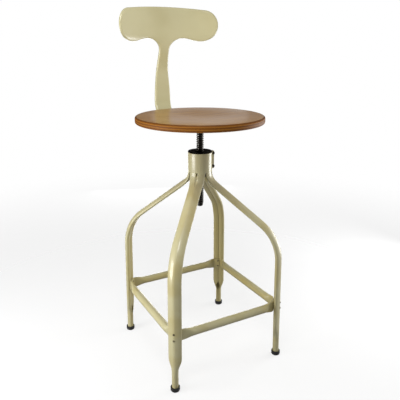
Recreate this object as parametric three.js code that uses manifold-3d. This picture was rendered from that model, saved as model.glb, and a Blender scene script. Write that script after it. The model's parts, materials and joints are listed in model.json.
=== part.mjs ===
// An adjustable swivel stool: a round plywood seat and a pressed steel backrest on a screw spindle,
// in a base of four rolled steel legs. Millimetres, +Z up, the sitter faces -Y.
import * as THREE from 'three';
import { mergeVertices } from 'three/addons/utils/BufferGeometryUtils.js';
import Module from 'manifold-3d';

const wasm = await Module();
wasm.setup();

const { degToRad, lerp, smoothstep } = THREE.MathUtils;

// ---- driving dimensions ----

const GAP = 0.3; // left between solids that touch on the real stool
const AXIS_Y = -31.5; // the spindle's place along Y, which puts the origin under the middle of the whole

const SEAT = { radius: 175, top: 706, thickness: 18, edgeRound: 5, dish: 6, dishRadius: 150 };
const SEAT_UNDER = SEAT.top - SEAT.thickness;
const SPINDLE = { radius: 10.25, bottom: 449 };
const FLANGE = { radius: 60, thickness: 4.7, bossRadius: 18, bossBottom: 667, screwCircle: 46 };
const STOP_RING = { inner: 10.9, outer: 17, bottom: 662.5 };

const COLLAR = { outer: 33.5, inner: 31, bottom: 552.5, top: 606 };
const SLIT = 3;
const LUG = { reach: 42, halfWidth: 5.5, bottom: 556, boltX: 38, boltHeights: [600, 563] };
const CORE = { outer: 18, inner: 15.4, bottom: 536, top: 604 };
const BUSH = { outer: 15.1, inner: 10.6, bottom: 548, top: 604.5 };
const PLATE = { inner: 18.3, outer: 30.7, bottom: 552.8, top: 556.8 };
const CAP = { outer: 33.4, inner: 11, top: 609, skirtInner: 27.5, skirtBottom: 600 };

const LEG = {
  outerAtFloor: 246.2, // from the spindle's axis to the leg's outer face, at the floor
  lean: 0.021, // how far the face comes in for each millimetre of height
  inclineDegrees: 37.7,
  shoulderRadius: 140,
  hubCorner: 535, // the height where the incline's line meets the collar's face
  hubRadius: 35,
  width: 37,
  depth: 17.2,
  inclineDepth: 14.8,
  inclineFrom: 320, // the leg thins between these heights
  inclineTo: 430,
  wall: 1.8,
  tipDiameter: 18,
  tipTop: 62,
  neckTop: 98,
  neckOpening: 7,
  foot: 3.8,
};
const LEG_AZIMUTHS = { front_left: -45, back_left: 45, back_right: 135, front_right: 225 };
const SIDE_AZIMUTHS = { front: 0, left: 90, back: 180, right: 270 };

const BAR = {
  height: 165.5, diameter: 22.5, wall: 1.2, endTall: 33, endThick: 2.7, bend: 8, run: 166, swell: 32,
};
// A bar is a round tube with flattened ends, bent to lie on the inner faces of two legs: one end on the
// leg itself, and the other, which is shorter, over the end of the next bar.
const LEG_INNER = LEG.outerAtFloor - LEG.lean * (BAR.height + BAR.endTall / 2) - LEG.depth;
const OUTER_END = { radius: LEG_INNER - GAP - BAR.endThick / 2, reach: 15 };
const INNER_END = { radius: OUTER_END.radius - GAP - BAR.endThick, reach: 4.5 };
const RIVET = { radius: 2.2, hole: 2.6, headRadius: 3, headHeight: 1.7, heights: [176, 157.5] };
const FOOT = { radius: 12.8, height: 13, bore: 9.7, floor: 3.3, flat: 8.8 };

const BACK = {
  sheet: 2.5, edge: 6.5, chamfer: 3, endShare: 0.994,
  headRadius: 281, headY: 210.5, halfSpan: 160.8, middle: 941,
  top: 990.5, crown: 6.5, shoulderAt: 118, lobeAt: 110, lobeBottom: 894, archAt: 57, archTop: 904.2,
  neck: 16, neckHeight: 870, stem: 26, stemY: 237, bendRadius: 33, tailEnd: 66, tail: 20,
  leanFrom: 795, leanTo: 915, curveFrom: 840, curveTo: 900, overlap: 8,
};
const WOOD_SCREW = { radius: 2, hole: 2.5, headRadius: 5, headHeight: 2.8, reach: 8.5, point: 3 };
const BACK_SCREWS_Y = [88, 122, 156];
const BOLT = { radius: 2.6, hole: 2.9, headRadius: 4.4, headHeight: 3.6, tail: 5 };
const NUT = { bore: 2.8, radius: 4.6, height: 4 };
const THROUGH = 5; // how far a hole's cutter stands out of the piece it cuts

// ---- finishes ----

const paint = () => new THREE.MeshStandardMaterial({ color: 0xc6bf9e, roughness: 0.42, metalness: 0 });
const wood = () => new THREE.MeshStandardMaterial({ color: 0xa5713c, roughness: 0.4, metalness: 0 });
const blackSteel = () => new THREE.MeshStandardMaterial({ color: 0x161616, roughness: 0.4, metalness: 0.7 });
const steel = () => new THREE.MeshStandardMaterial({ color: 0x77746c, roughness: 0.45, metalness: 0.8 });
const rubber = () => new THREE.MeshStandardMaterial({ color: 0x17171a, roughness: 0.75, metalness: 0 });

// ---- solids ----

/** One indexed closed surface, with shared vertices merged and empty triangles left out. */
function closedSurface(geometry) {
  const bare = geometry.clone();
  bare.deleteAttribute('normal');
  bare.deleteAttribute('uv');
  const merged = mergeVertices(bare, 1e-4);
  const index = merged.index.array;
  const kept = [];
  for (let i = 0; i < index.length; i += 3) {
    const [a, b, c] = [index[i], index[i + 1], index[i + 2]];
    if (a !== b && b !== c && c !== a) kept.push(a, b, c);
  }
  merged.setIndex(kept);
  return merged;
}

function toManifold(geometry) {
  const surface = closedSurface(geometry);
  const vertProperties = new Float32Array(surface.attributes.position.array);
  const triVerts = new Uint32Array(surface.index.array);
  return new wasm.Manifold(new wasm.Mesh({ numProp: 3, vertProperties, triVerts }));
}

function fromManifold(solid) {
  const mesh = solid.getMesh();
  const geometry = new THREE.BufferGeometry();
  geometry.setAttribute('position', new THREE.BufferAttribute(mesh.vertProperties, 3));
  geometry.setIndex([...mesh.triVerts]);
  return geometry;
}

function join(first, ...others) {
  return fromManifold(others.reduce((whole, g) => whole.add(toManifold(g)), toManifold(first)));
}

function cut(first, ...cutters) {
  return fromManifold(cutters.reduce((whole, g) => whole.subtract(toManifold(g)), toManifold(first)));
}

/** A solid turned about Z. The profile's [radius, height] pairs run from axis to axis, or close. */
function turned(profile, segments = 32) {
  const points = profile.map(([radius, height]) => new THREE.Vector2(radius, height));
  return closedSurface(new THREE.LatheGeometry(points, segments).rotateX(Math.PI / 2));
}

/** A turned ring: the profile is given without its closing point. */
function turnedRing(profile, segments) {
  return turned([...profile, profile[0]], segments);
}

/** A plain tube along Z. */
function sleeve({ inner, outer, bottom, top }) {
  return turnedRing([[inner, bottom], [outer, bottom], [outer, top], [inner, top]]);
}

/** A plain round rod along Z, used to cut holes. */
function rod(radius, bottom, top, segments = 16) {
  return turned([[0, bottom], [radius, bottom], [radius, top], [0, top]], segments);
}

function box(low, high) {
  const size = high.map((value, k) => value - low[k]);
  const middle = high.map((value, k) => (value + low[k]) / 2);
  return new THREE.BoxGeometry(...size).translate(...middle);
}

function signedVolume(points, index) {
  let sum = 0;
  for (let i = 0; i < index.length; i += 3) {
    const [a, b, c] = [points[index[i]], points[index[i + 1]], points[index[i + 2]]];
    sum += a.dot(b.clone().cross(c));
  }
  return sum / 6;
}

/** A bent strip of sheet. Each station has its skin points and, in the same order, its lining points. */
function sheetLoft(stations) {
  const count = stations[0].skin.length;
  const ring = 2 * count;
  const points = stations.flatMap(({ skin, lining }) => [...skin, ...lining.slice().reverse()]);
  const index = [];
  const quad = (a, b, c, d) => index.push(a, b, c, a, c, d);
  for (let s = 0; s + 1 < stations.length; s += 1) {
    for (let k = 0; k < ring; k += 1) {
      const next = (k + 1) % ring;
      quad(s * ring + k, s * ring + next, (s + 1) * ring + next, (s + 1) * ring + k);
    }
  }
  const last = (stations.length - 1) * ring;
  for (let k = 0; k + 1 < count; k += 1) {
    quad(k, ring - 1 - k, ring - 2 - k, k + 1);
    quad(last + k, last + k + 1, last + ring - 2 - k, last + ring - 1 - k);
  }
  if (signedVolume(points, index) < 0) index.reverse();
  const geometry = new THREE.BufferGeometry().setFromPoints(points);
  geometry.setIndex(index);
  return geometry;
}

/** Points with directions along a polyline whose inner corners are rounded. */
function roundedPath(corners, radius, arcStep) {
  const path = [];
  corners.forEach((corner, i) => {
    const before = corners[i - 1] ?? corner;
    const after = corners[i + 1] ?? corner;
    if (before === corner || after === corner) {
      path.push({ point: corner, direction: after.clone().sub(before).normalize() });
      return;
    }
    const into = corner.clone().sub(before).normalize();
    const onward = after.clone().sub(corner).normalize();
    const turn = Math.atan2(into.cross(onward), into.dot(onward));
    const bend = radius[i - 1];
    const start = corner.clone().addScaledVector(into, -bend * Math.tan(Math.abs(turn) / 2));
    const side = new THREE.Vector2(-into.y, into.x).multiplyScalar(Math.sign(turn) * bend);
    const centre = start.clone().add(side);
    const steps = Math.ceil(Math.abs(turn) / arcStep);
    for (let k = 0; k <= steps; k += 1) {
      const angle = (turn * k) / steps;
      const point = start.clone().rotateAround(centre, angle);
      path.push({ point, direction: into.clone().rotateAround(new THREE.Vector2(), angle) });
    }
  });
  return path;
}

// ---- the stool, placed by its spindle's axis ----

const stool = new THREE.Group();
stool.position.y = AXIS_Y;

/** A group turned about the spindle's axis, for what repeats round it. */
function turnedGroup(degrees) {
  const group = new THREE.Group();
  group.rotation.z = degToRad(degrees);
  stool.add(group);
  return group;
}

function add(name, geometry, material, parent = stool) {
  const mesh = new THREE.Mesh(geometry, material);
  mesh.name = name;
  parent.add(mesh);
  return mesh;
}

// ---- seat, spindle and flange ----

const flangeScrewAngles = [45, 135, 225, 315].map(degToRad);
const flangeScrewPlaces = flangeScrewAngles.map((a) => [
  FLANGE.screwCircle * Math.cos(a),
  FLANGE.screwCircle * Math.sin(a),
]);
const backScrewPlaces = BACK_SCREWS_Y.map((y) => [0, y]);

function seat() {
  const { radius, top, edgeRound, dish, dishRadius } = SEAT;
  const profile = [[0, SEAT_UNDER]];
  for (let k = 0; k <= 4; k += 1) {
    const a = (k / 4) * (Math.PI / 2);
    const out = edgeRound * Math.sin(a);
    profile.push([radius - edgeRound + out, SEAT_UNDER + edgeRound - edgeRound * Math.cos(a)]);
  }
  for (let k = 0; k <= 4; k += 1) {
    const a = (k / 4) * (Math.PI / 2);
    profile.push([radius - edgeRound + edgeRound * Math.cos(a), top - edgeRound + edgeRound * Math.sin(a)]);
  }
  for (let k = 0; k <= 6; k += 1) {
    const r = dishRadius * (1 - k / 6);
    profile.push([r, top - dish * Math.cos((r / dishRadius) * (Math.PI / 2)) ** 2]);
  }
  const pilots = [...flangeScrewPlaces, ...backScrewPlaces].map(([x, y]) =>
    rod(WOOD_SCREW.hole, SEAT_UNDER - THROUGH, SEAT_UNDER + WOOD_SCREW.reach + 1, 8).translate(x, y, 0));
  return cut(turned(profile, 36), ...pilots);
}

function seatFlange() {
  const { radius, thickness, bossRadius, bossBottom } = FLANGE;
  const top = SEAT_UNDER - GAP;
  const bore = SPINDLE.radius + GAP;
  const ring = turnedRing([
    [bore, bossBottom],
    [bossRadius - 1, bossBottom],
    [bossRadius, bossBottom + 1],
    [bossRadius + 1, top - thickness - 4],
    [bossRadius + 5, top - thickness],
    [radius - 1, top - thickness],
    [radius, top - thickness + 1],
    [radius, top],
    [bore, top],
  ], 24);
  const holes = flangeScrewPlaces.map(([x, y]) =>
    rod(WOOD_SCREW.hole, top - thickness - THROUGH, top + THROUGH, 8).translate(x, y, 0));
  return cut(ring, ...holes);
}

function spindle() {
  const { radius, bottom } = SPINDLE;
  return turned([
    [0, bottom],
    [radius - 4, bottom + 0.5],
    [radius - 1, bottom + 3],
    [radius, bottom + 6],
    [radius, SEAT_UNDER - 2 * GAP],
    [0, SEAT_UNDER - 2 * GAP],
  ], 24);
}

function stopRing() {
  const { inner, outer, bottom } = STOP_RING;
  const top = FLANGE.bossBottom - GAP;
  return turnedRing([
    [inner, bottom],
    [outer - 1, bottom],
    [outer, bottom + 1],
    [outer, top - 1],
    [outer - 1, top],
    [inner, top],
  ], 24);
}

/** A pan-headed wood screw driven upwards. Its head seats under the given height. */
function woodScrew(seatHeight) {
  const { radius, headRadius, headHeight, reach, point } = WOOD_SCREW;
  const head = seatHeight - GAP;
  const tip = SEAT_UNDER + reach;
  return turned([
    [0, head - headHeight],
    [headRadius * 0.6, head - headHeight + 0.3],
    [headRadius, head - headHeight * 0.4],
    [headRadius, head],
    [radius, head],
    [radius, tip - point],
    [0, tip],
  ], 8);
}

// ---- backrest ----

/** A pressed channel's section: a flat face with both edges turned back by a chamfered corner. */
function channelSection(low, high, place) {
  const { sheet, edge, chamfer } = BACK;
  const skin = [
    [low, edge],
    [low, chamfer],
    [low + chamfer, 0],
    [high - chamfer, 0],
    [high, chamfer],
    [high, edge],
  ];
  const lining = [
    [low + sheet, edge],
    [low + sheet, chamfer + 1],
    [low + chamfer + 1, sheet],
    [high - chamfer - 1, sheet],
    [high - sheet, chamfer + 1],
    [high - sheet, edge],
  ];
  return { skin: skin.map(([a, b]) => place(a, b)), lining: lining.map(([a, b]) => place(a, b)) };
}

function headTop(s) {
  const { middle, halfSpan, top, crown, shoulderAt } = BACK;
  if (s < shoulderAt) return top - crown * (s / shoulderAt) ** 2;
  const share = (s - shoulderAt) / (halfSpan - shoulderAt);
  return middle + (top - crown - middle) * Math.sqrt(1 - share ** 2);
}

function headBottom(s) {
  const { middle, halfSpan, lobeAt, lobeBottom, archAt, archTop } = BACK;
  if (s < archAt) return archTop;
  if (s < lobeAt) {
    const fall = 0.5 - 0.5 * Math.cos((Math.PI * (s - archAt)) / (lobeAt - archAt));
    return lerp(archTop, lobeBottom, fall);
  }
  return middle - (middle - lobeBottom) * Math.sqrt(1 - ((s - lobeAt) / (halfSpan - lobeAt)) ** 2);
}

/** The head's upright columns stand round an arc that is concave to the sitter. */
function backHead() {
  const { headRadius, headY, halfSpan, endShare } = BACK;
  const columns = 22;
  const stations = [];
  for (let k = 0; k <= columns; k += 1) {
    const s = endShare * halfSpan * Math.sin((k / columns - 0.5) * Math.PI);
    const a = s / headRadius;
    stations.push(channelSection(headBottom(Math.abs(s)), headTop(Math.abs(s)), (z, back) =>
      new THREE.Vector3(
        (headRadius + back) * Math.sin(a),
        headY - headRadius + (headRadius + back) * Math.cos(a),
        z,
      )));
  }
  return sheetLoft(stations);
}

/** The turned-back edge that closes the head's channel at one end. */
function headEnd(side) {
  const { headRadius, headY, halfSpan, endShare, sheet, edge, chamfer } = BACK;
  const s = endShare * halfSpan;
  const [low, high] = [headBottom(s) + chamfer / 2, headTop(s) - chamfer / 2];
  return new THREE.BoxGeometry(sheet, edge - 0.4, high - low)
    .translate((-side * sheet) / 2, headRadius + edge / 2, (low + high) / 2)
    .rotateZ((-side * s) / headRadius)
    .translate(0, headY - headRadius, 0);
}

function stemHalfWidth(z) {
  const { neck, neckHeight, archAt, archTop, stem } = BACK;
  if (z < neckHeight) return lerp(neck, stem, smoothstep(neckHeight - z, 0, 150));
  const rise = Math.min((z - neckHeight) / (archTop - neckHeight), 1);
  return archAt - (archAt - neck) * Math.sqrt(1 - rise ** 2);
}

/** The stem's face line in the YZ plane: under the seat, round the bend and up into the head. */
function stemPath() {
  const { headY, stemY, bendRadius, tailEnd, tail, stem, neckHeight, archAt, archTop } = BACK;
  const { leanFrom, leanTo, overlap } = BACK;
  const headFace = headY + 0.25; // the stem's face lies just inside the head's sheet
  const under = SEAT_UNDER - GAP;
  const bendY = stemY - bendRadius;
  const path = [];
  for (const y of [tailEnd, (tailEnd + SEAT.radius) / 2, SEAT.radius]) {
    path.push({ y, z: under, half: lerp(tail, stem, smoothstep(y, tailEnd, SEAT.radius)), tilt: 0 });
  }
  for (let k = 0; k <= 8; k += 1) {
    const tilt = (k / 8) * (Math.PI / 2);
    const y = bendY + bendRadius * Math.sin(tilt);
    path.push({ y, z: under + bendRadius * (1 - Math.cos(tilt)), half: stem, tilt });
  }
  const upright = (z, half) => {
    const y = lerp(stemY, headFace, smoothstep(z, leanFrom, leanTo));
    path.push({ y, z, half, tilt: Math.PI / 2 });
  };
  for (let k = 1; k <= 6; k += 1) {
    const z = lerp(under + bendRadius, neckHeight, k / 6);
    upright(z, stemHalfWidth(z));
  }
  for (let k = 1; k <= 7; k += 1) {
    const z = lerp(neckHeight, archTop - 0.2, Math.sin(((k / 7) * Math.PI) / 2));
    upright(z, stemHalfWidth(z));
  }
  upright(archTop + overlap, archAt - THROUGH);
  return path;
}

function backStem() {
  const { headRadius, curveFrom, curveTo } = BACK;
  const stations = stemPath().map(({ y, z, half, tilt }) => {
    const follow = smoothstep(z, curveFrom, curveTo);
    return channelSection(-half, half, (x, back) => new THREE.Vector3(
      x,
      y + back * Math.sin(tilt) - follow * (headRadius - Math.sqrt(headRadius ** 2 - x ** 2)),
      z - back * Math.cos(tilt),
    ));
  });
  return sheetLoft(stations);
}

function backrest() {
  const holes = backScrewPlaces.map(([x, y]) =>
    rod(WOOD_SCREW.hole, SEAT_UNDER - BACK.sheet - THROUGH, SEAT_UNDER + THROUGH, 8).translate(x, y, 0));
  return cut(join(backHead(), headEnd(1), headEnd(-1), backStem()), ...holes);
}

// ---- hub ----

/** The collar round the legs' top ends, split at +X between two lugs that a pair of bolts pulls together. */
function hubCollar() {
  const { outer, inner, bottom, top } = COLLAR;
  const ring = turnedRing([[inner, bottom], [outer, bottom], [outer, top], [inner, top]], 40);
  const lugs = box([outer - 1.5, -LUG.halfWidth, LUG.bottom], [LUG.reach, LUG.halfWidth, top - GAP]);
  const slit = box(
    [inner - THROUGH, -SLIT / 2, bottom - THROUGH],
    [LUG.reach + THROUGH, SLIT / 2, top + THROUGH],
  );
  const across = LUG.halfWidth + THROUGH;
  const holes = LUG.boltHeights.map((z) =>
    rod(BOLT.hole, -across, across, 12).rotateX(Math.PI / 2).translate(LUG.boltX, 0, z));
  return cut(join(ring, lugs), slit, ...holes);
}

function hubCap() {
  const { outer, inner, top, skirtInner, skirtBottom } = CAP;
  const under = COLLAR.top + GAP;
  const skirtOuter = COLLAR.inner - GAP;
  return turnedRing([
    [inner, under],
    [skirtInner, under],
    [skirtInner, skirtBottom],
    [skirtOuter, skirtBottom],
    [skirtOuter, under],
    [outer, under],
    [outer, top - 1],
    [outer - 1, top],
    [inner, top],
  ], 28);
}

function clampBolt() {
  const { radius, headRadius, headHeight, tail } = BOLT;
  const seatY = LUG.halfWidth + GAP;
  return turned([
    [0, -seatY - headHeight],
    [headRadius - 0.8, -seatY - headHeight],
    [headRadius, -seatY - headHeight + 0.8],
    [headRadius, -seatY],
    [radius, -seatY],
    [radius, seatY + tail],
    [0, seatY + tail],
  ], 16).rotateX(-Math.PI / 2);
}

function clampNut() {
  const seatY = LUG.halfWidth + GAP;
  const { bore, radius, height } = NUT;
  return turnedRing([
    [bore, seatY],
    [radius, seatY],
    [radius, seatY + height],
    [bore, seatY + height],
  ], 12).rotateX(-Math.PI / 2);
}

// ---- legs ----

// Half of the leg's rolled section, from its outer crown round one side to the seam on its inner face,
// across as a share of half the width and inwards as a share of the depth.
const LEG_HALF_SECTION = [
  [0, 0], [0.22, 0.04], [0.6, 0.22], [0.92, 0.46], [1, 0.66], [0.86, 0.92], [0.5, 1], [0.03, 0.9],
];
const SEAM_TURN = 0.97 * Math.PI; // how far round the tip's tube goes before its seam

/** One side of the section at a neck share of 0, the round tip, to 1, the full leg. */
function legHalf(share) {
  const opening = (LEG.neckOpening / LEG.width) * Math.sin(Math.PI * share);
  const last = LEG_HALF_SECTION.length - 1;
  return LEG_HALF_SECTION.map(([u, v], i) => {
    const a = (SEAM_TURN * i) / last;
    const across = lerp(Math.sin(a), u, share) + opening * (i / last) ** 4;
    return [across, lerp((1 - Math.cos(a)) / 2, v, share)];
  });
}

function legSection({ width, depth, share }) {
  const half = legHalf(share);
  const whole = [...half.slice(1).reverse().map(([u, v]) => [-u, v]), ...half];
  const skin = whole.map(([u, v]) => [(u * width) / 2, v * depth]);
  const inner = { half: width / 2 - LEG.wall, depth: depth - 2 * LEG.wall };
  const lining = whole.map(([u, v]) => [u * inner.half, LEG.wall + v * inner.depth]);
  return { skin, lining };
}

/** The outer face's line from the foot up to the hub, as radius and height. */
function legPath() {
  const slope = Math.tan(degToRad(LEG.inclineDegrees));
  const hubCorner = new THREE.Vector2(COLLAR.outer, LEG.hubCorner);
  const shoulder = new THREE.Vector2();
  const risen = hubCorner.y + slope * hubCorner.x;
  shoulder.x = (LEG.outerAtFloor - LEG.lean * risen) / (1 - LEG.lean * slope);
  shoulder.y = risen - slope * shoulder.x;
  const at = (z) => new THREE.Vector2(LEG.outerAtFloor - LEG.lean * z, z);
  const top = new THREE.Vector2(COLLAR.outer, COLLAR.bottom - GAP);
  const bends = [LEG.shoulderRadius, LEG.hubRadius];
  const path = roundedPath([at(LEG.foot), shoulder, hubCorner, top], bends, 0.21);
  const { direction } = path[0];
  const neck = [0, 0.25, 0.5, 0.75, 1].map((t) => ({
    point: at(lerp(LEG.tipTop, LEG.neckTop, t)),
    direction,
  }));
  path.splice(1, 0, ...neck);
  return path;
}

function leg() {
  const stations = legPath().map(({ point, direction }) => {
    const share = smoothstep(point.y, LEG.tipTop, LEG.neckTop);
    const thinned = smoothstep(point.y, LEG.inclineFrom, LEG.inclineTo);
    const fullDepth = lerp(LEG.depth, LEG.inclineDepth, thinned);
    const width = lerp(LEG.tipDiameter, LEG.width, share);
    const depth = lerp(LEG.tipDiameter, fullDepth, share);
    const place = ([across, inwards]) => new THREE.Vector3(
      point.x - inwards * direction.y,
      across,
      point.y + inwards * direction.x,
    );
    const { skin, lining } = legSection({ width, depth, share });
    return { skin: skin.map(place), lining: lining.map(place) };
  });
  const hole = () => rod(RIVET.hole, LEG_INNER - THROUGH, LEG.outerAtFloor + THROUGH, 8);
  const holes = RIVET.heights.map((z) => hole().rotateY(Math.PI / 2).translate(0, 0, z));
  return cut(sheetLoft(stations), ...holes);
}

/** A dome-headed rivet along +X through the leg and the two bar ends inside it. */
function rivet(z) {
  const { radius, headRadius, headHeight } = RIVET;
  const outside = LEG.outerAtFloor - LEG.lean * z + GAP;
  const inside = INNER_END.radius - BAR.endThick / 2 - GAP;
  return turned([
    [0, inside - headHeight],
    [headRadius * 0.7, inside - headHeight * 0.8],
    [headRadius, inside],
    [radius, inside],
    [radius, outside],
    [headRadius, outside],
    [headRadius * 0.7, outside + headHeight * 0.8],
    [0, outside + headHeight],
  ], 8).rotateY(Math.PI / 2).translate(0, 0, z);
}

function rubberFoot() {
  const { radius, height, bore, floor, flat } = FOOT;
  return turned([
    [0, 0],
    [flat, 0],
    [flat + 2.4, 1],
    [radius, 4],
    [radius, height - 1.5],
    [radius - 1.2, height],
    [bore, height],
    [bore, floor],
    [0, floor],
  ], 16);
}

// ---- stretchers ----

/** The bar's middle line from above, with the leg before it at -X +Y and the leg after it at +X +Y. */
function barPath() {
  const diagonal = Math.SQRT1_2;
  const endPoint = (radius, along) =>
    new THREE.Vector2(along - radius, radius + along).multiplyScalar(diagonal);
  const corner = ({ radius }) => endPoint(radius, BAR.run / diagonal - radius);
  const tip = ({ radius, reach }) => endPoint(radius, -reach);
  const mirror = (point) => new THREE.Vector2(-point.x, point.y);
  return roundedPath([
    tip(OUTER_END),
    corner(OUTER_END),
    mirror(corner(INNER_END)),
    mirror(tip(INNER_END)),
  ], [BAR.bend, BAR.bend], 0.4);
}

/** The tube's section with its seam underneath, at a share of 0, flattened, to 1, round. */
function barSection(share) {
  const sides = 8;
  const seam = 0.06;
  const power = lerp(0.3, 1, share);
  const squared = (value) => Math.sign(value) * Math.abs(value) ** power;
  const halfThick = lerp(BAR.endThick, BAR.diameter, share) / 2;
  const halfTall = lerp(BAR.endTall, BAR.diameter, share) / 2;
  const skin = [];
  const lining = [];
  for (let k = 0; k <= sides; k += 1) {
    const a = seam + (k / sides) * 2 * (Math.PI - seam);
    const [across, up] = [squared(Math.sin(a)), -Math.cos(a)];
    skin.push([across * halfThick, up * halfTall]);
    lining.push([across * (halfThick - BAR.wall), up * (halfTall - BAR.wall)]);
  }
  return { skin, lining };
}

/** The bar's path, with stations added where its flat ends swell into the tube. */
function barStations() {
  const path = barPath();
  const half = path.length / 2;
  const swelling = (from, side) => [0.33, 0.67, 1].map((t) => ({
    point: new THREE.Vector2(from.point.x + side * BAR.swell * t, BAR.run),
    direction: from.direction,
    share: smoothstep(t, 0, 1),
  }));
  const flat = (station) => ({ ...station, share: 0 });
  return [
    ...path.slice(0, half).map(flat),
    ...swelling(path[half - 1], 1),
    ...swelling(path[half], -1).reverse(),
    ...path.slice(half).map(flat),
  ];
}

function stretcher() {
  const stations = barStations().map(({ point, direction, share }) => {
    const place = ([across, up]) => new THREE.Vector3(
      point.x - across * direction.y,
      point.y + across * direction.x,
      BAR.height + up,
    );
    const { skin, lining } = barSection(share);
    return { skin: skin.map(place), lining: lining.map(place) };
  });
  const hole = () => rod(RIVET.hole, INNER_END.radius - THROUGH, LEG_INNER + THROUGH, 8);
  const holes = [135, 45].flatMap((azimuth) => RIVET.heights.map((z) =>
    hole().rotateY(Math.PI / 2).rotateZ(degToRad(azimuth)).translate(0, 0, z)));
  return cut(sheetLoft(stations), ...holes);
}

// ---- assembly ----

add('seat', seat(), wood());
add('seat_flange', seatFlange(), blackSteel());
add('spindle', spindle(), blackSteel());
add('stop_ring', stopRing(), rubber());
flangeScrewPlaces.forEach(([x, y], i) => {
  const screw = woodScrew(SEAT_UNDER - GAP - FLANGE.thickness);
  add(`flange_screw_${i + 1}`, screw, steel()).position.set(x, y, 0);
});

add('backrest', backrest(), paint());
backScrewPlaces.forEach(([x, y], i) => {
  add(`back_screw_${i + 1}`, woodScrew(SEAT_UNDER - GAP - BACK.sheet), steel()).position.set(x, y, 0);
});

add('hub_collar', hubCollar(), paint());
add('hub_cap', hubCap(), blackSteel());
add('hub_core', sleeve(CORE), blackSteel());
add('threaded_bush', sleeve(BUSH), steel());
add('hub_plate', sleeve(PLATE), paint());
LUG.boltHeights.forEach((z, i) => {
  add(`clamp_bolt_${i + 1}`, clampBolt(), blackSteel()).position.set(LUG.boltX, 0, z);
  add(`clamp_nut_${i + 1}`, clampNut(), blackSteel()).position.set(LUG.boltX, 0, z);
});

for (const [place, azimuth] of Object.entries(LEG_AZIMUTHS)) {
  const group = turnedGroup(azimuth);
  add(`leg_${place}`, leg(), paint(), group);
  add(`foot_${place}`, rubberFoot(), rubber(), group).position.x = LEG.outerAtFloor - LEG.tipDiameter / 2;
  RIVET.heights.forEach((z, i) => add(`rivet_${place}_${i + 1}`, rivet(z), steel(), group));
}

// A side's bar is drawn on the +Y side and turned to its place.
for (const [place, azimuth] of Object.entries(SIDE_AZIMUTHS)) {
  add(`stretcher_${place}`, stretcher(), paint(), turnedGroup(azimuth + 180));
}

export default stool;
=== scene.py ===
"""The looks of the adjustable swivel stool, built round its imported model.

Shapes are worked out in millimetres from the spindle's axis, with +Z up and the sitter facing -Y.
"""

import json
import math

import bmesh
import bpy
import numpy as np
from mathutils import Matrix, Vector


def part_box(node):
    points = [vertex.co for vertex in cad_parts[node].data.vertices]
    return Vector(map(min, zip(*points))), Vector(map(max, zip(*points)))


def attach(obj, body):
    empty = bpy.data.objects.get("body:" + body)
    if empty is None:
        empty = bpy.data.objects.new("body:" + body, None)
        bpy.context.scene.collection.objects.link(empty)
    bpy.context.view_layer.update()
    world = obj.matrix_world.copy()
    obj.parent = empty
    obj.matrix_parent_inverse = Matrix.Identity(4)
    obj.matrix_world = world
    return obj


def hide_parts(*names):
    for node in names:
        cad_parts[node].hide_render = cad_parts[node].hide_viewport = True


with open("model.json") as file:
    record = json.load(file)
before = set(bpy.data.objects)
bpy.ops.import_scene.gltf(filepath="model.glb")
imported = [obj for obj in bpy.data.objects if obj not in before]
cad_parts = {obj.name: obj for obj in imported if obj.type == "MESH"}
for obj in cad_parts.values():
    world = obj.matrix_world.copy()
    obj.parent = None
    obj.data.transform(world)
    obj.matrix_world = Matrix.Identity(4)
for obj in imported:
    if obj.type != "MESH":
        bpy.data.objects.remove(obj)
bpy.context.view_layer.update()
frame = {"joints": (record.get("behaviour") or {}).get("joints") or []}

MM = 0.001
AXIS = Vector(next(j for j in frame["joints"] if j["name"] == "seat_turn")["pos_m"])


def extent(node):
    """A CAD node's lowest and highest corner, in millimetres from the spindle's axis."""
    low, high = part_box(node)
    return (low - AXIS) / MM, (high - AXIS) / MM


# ---- dimensions ----

GAP = 0.3  # left between pieces that lie on one another

SEAT_LOW, SEAT_HIGH = extent("seat")
SEAT_RADIUS = SEAT_HIGH.x
SEAT_UNDER = SEAT_LOW.z
SEAT_TOP = SEAT_HIGH.z
SEAT_ROUNDS = {"under": 4.5, "top": 5.5}
DISH = {"depth": 6.0, "radius": 150.0}
PLIES_FROM, PLIES_ONLY = 4.6, 3.4  # how far in from the rim the plies start to show, and show alone

SPINDLE_LOW, SPINDLE_HIGH = extent("spindle")
THREAD = {"crest": 10.25, "root": 8.35, "pitch": 6.0, "tip": 5.0, "short_of_ring": 1.5}
FLANGE_UNDER = extent("flange_screw_1")[1].z
FLANGE = {"bore": 10.6, "neck": 18.0, "neck_top": 18.6, "fillet": 5.0, "radius": 60.0, "rim_rise": 0.2}
STOP_RING = {"bore": 10.9, "radius": 17.0}
SCREW_HEAD = {"radius": 5.0, "height": 2.8}

COLLAR_LOW, COLLAR_HIGH = extent("hub_collar")
COLLAR_OUTER = 33.5
COLLAR_INNER = 31.0
LUG = {
    "reach": 42.0, "half": 5.5, "bottom": 556.0, "slit": 1.5, "bolt_x": 38.0, "fillet": 2.5,
    "below_top": 0.3,
}
CAP = {
    "bore": 11.0, "radius": 33.4, "skirt": (27.5, 30.7), "groove_floor": (14.2, 22.8),
    "groove_brim": (13.2, 24.0), "groove": 1.0, "outer_drop": 0.35,
}
TUBE_BORES = {"hub_core": 15.4, "threaded_bush": 10.6, "hub_plate": 18.3}
CLAMP = {"bolt": 2.6, "head": 4.4, "nut": 4.6, "nut_bore": 2.8}

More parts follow.
